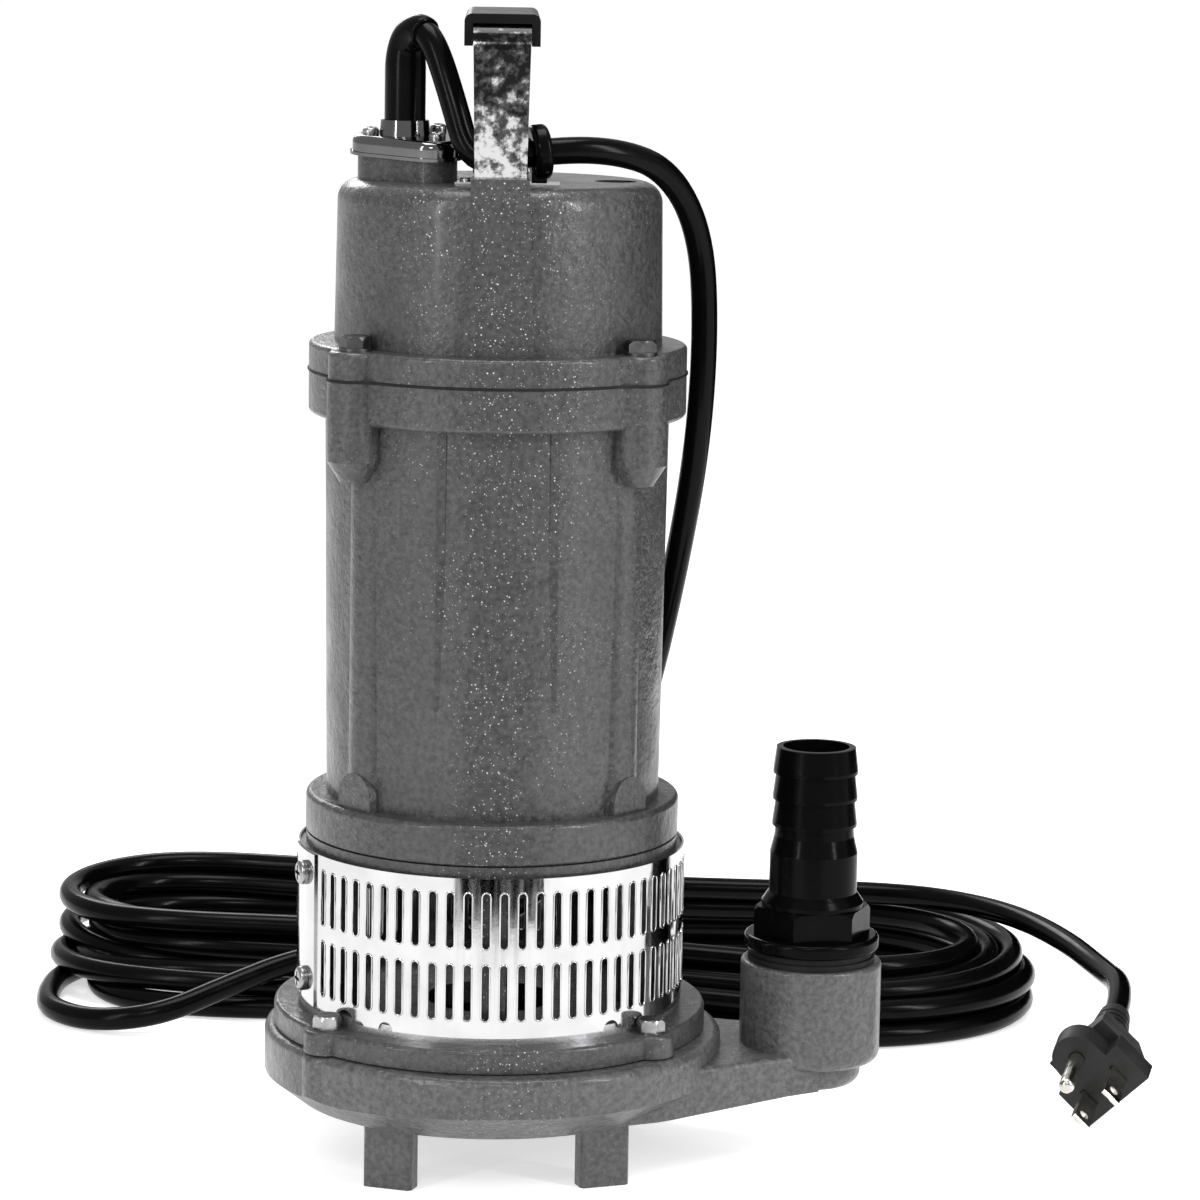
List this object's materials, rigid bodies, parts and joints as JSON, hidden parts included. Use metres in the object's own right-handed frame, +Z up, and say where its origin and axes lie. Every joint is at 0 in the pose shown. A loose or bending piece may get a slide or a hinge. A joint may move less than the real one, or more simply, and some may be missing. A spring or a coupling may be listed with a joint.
{
  "type": "submersible sump pump",
  "caption": "Cast-iron submersible sump pump with slotted strainer, barbed hose outlet, strap handle and a coiled mains cord with plug.",
  "frame": {"origin": "on the motor's axis, in the plane that the feet stand on", "axes": "+Z up along the motor's axis; +X towards the hose outlet; +Y towards the back, where the cord lies; the handle's bar runs along Y"},
  "size_m": [0.3635, 0.334, 0.3392],
  "materials": {
    "cast_paint": "fine orange-peel enamel on cast iron",
    "cover_paint": "fine orange-peel enamel on cast iron",
    "volute_paint": "satin enamel on cast iron",
    "stainless": "polished",
    "strap_steel": "polished, slightly worn",
    "zinc_bolts": "dull zinc",
    "bright_bolts": "bright zinc",
    "black_plastic": "glossy moulded",
    "grip_plastic": "satin moulded",
    "cord_rubber": "glossy jacket",
    "plug_plastic": "matte moulded",
    "brass_pins": "polished",
    "gasket": "matte",
    "machined_steel": "turned",
    "bearing_steel": "ground",
    "cast_iron": "as cast",
    "lamination": "stacked sheet",
    "copper": "varnished windings",
    "aluminium": "spun can",
    "ceramic": "lapped",
    "white_plastic": "moulded"
  },
  "bodies": {
    "pump": {"volute_casing": "volute_paint", "volute_gasket": "gasket", "inlet_plate": "cast_paint", "strainer_seat_ring": "machined_steel", "bracket_columns": "cast_paint", "seal_housing": "cast_paint", "plate_bolts": "bright_bolts", "bracket_screws": "zinc_bolts", "strainer_band": "stainless", "strainer_lap": "stainless", "strainer_screws": "bright_bolts", "strainer_nut_strip": "stainless", "motor_casing": "cast_paint", "casing_gasket": "gasket", "cover_oring": "gasket", "top_cover": "cover_paint", "casing_bolts": "zinc_bolts", "oil_plug": "black_plastic", "gland_cap": "strap_steel", "gland_bush": "cord_rubber", "gland_screws": "bright_bolts", "cable_sleeve": "cord_rubber", "handle_strap": "strap_steel", "handle_grip": "grip_plastic", "handle_screws": "bright_bolts", "clamp_plate": "stainless", "clamp_screws": "bright_bolts", "cord_clamp": "cord_rubber", "hose_washer": "gasket", "hose_connector": "black_plastic", "lower_bearing_outer": "bearing_steel", "upper_bearing_outer": "bearing_steel", "shaft_lip_seal": "gasket", "seal_seat": "ceramic", "stator_core": "lamination", "stator_windings": "copper", "bearing_carrier": "cast_iron", "run_capacitor": "aluminium", "capacitor_clip": "stainless", "terminal_block": "white_plastic", "overload_protector": "black_plastic", "plug_body": "plug_plastic", "plug_boot": "plug_plastic", "plug_blades": "brass_pins", "plug_ground_pin": "brass_pins", "cord_coil": "cord_rubber", "cord_upper_run": "cord_rubber", "cord_plug_run": "cord_rubber"},
    "rotor": {"motor_shaft": "machined_steel", "impeller": "cast_iron", "impeller_nut": "machined_steel", "rotor_core": "lamination", "lower_bearing_inner": "bearing_steel", "upper_bearing_inner": "bearing_steel", "seal_head": "machined_steel", "seal_spring": "machined_steel"},
    "ball_sets": {"lower_bearing_balls": "bearing_steel", "upper_bearing_balls": "bearing_steel"}
  },
  "joints": [
    {"name": "rotor_spin", "type": "hinge", "parent": "pump", "child": "rotor", "pos_m": [0, 0, 0.1], "axis": [0, 0, 1], "continuous": true},
    {"name": "ball_orbit", "type": "hinge", "parent": "pump", "child": "ball_sets", "pos_m": [0, 0, 0.117], "axis": [0, 0, 1], "continuous": true}
  ],
  "couplings": [
    {"joint": "ball_orbit", "follows": "rotor_spin", "ratio": 0.4163}
  ]
}
